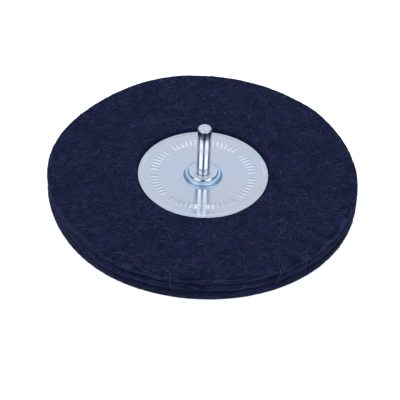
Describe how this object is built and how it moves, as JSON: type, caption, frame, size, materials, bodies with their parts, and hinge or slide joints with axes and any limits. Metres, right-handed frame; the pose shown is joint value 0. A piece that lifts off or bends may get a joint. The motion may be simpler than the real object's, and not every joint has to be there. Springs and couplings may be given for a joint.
{
  "type": "felt polishing wheel",
  "caption": "Felt wheel for a drill: a stack of navy felt discs riveted between dished steel flanges on a plain round shank.",
  "frame": {"origin": "centre of the felt's flat back face, where the wheel rests when it lies down", "axes": "+Z along the arbor, out of the shank's free end; X and Y are free, because the wheel is round"},
  "size_m": [0.14, 0.14, 0.0385],
  "materials": {
    "arbor_steel": "bright zinc plate over turned steel",
    "zinc_flange": "satin zinc plate, pressed sheet",
    "felt": "dense navy felt with loose surface fibres",
    "inner_steel": "plain zinc plate"
  },
  "bodies": {
    "root": {"arbor": "arbor_steel", "front_flange": "zinc_flange", "felt_disc_front": "felt", "felt_disc_middle": "felt", "felt_disc_back": "felt", "spacer_sleeve": "inner_steel", "back_flange": "zinc_flange", "rivet_washer": "inner_steel"}
  },
  "joints": []
}
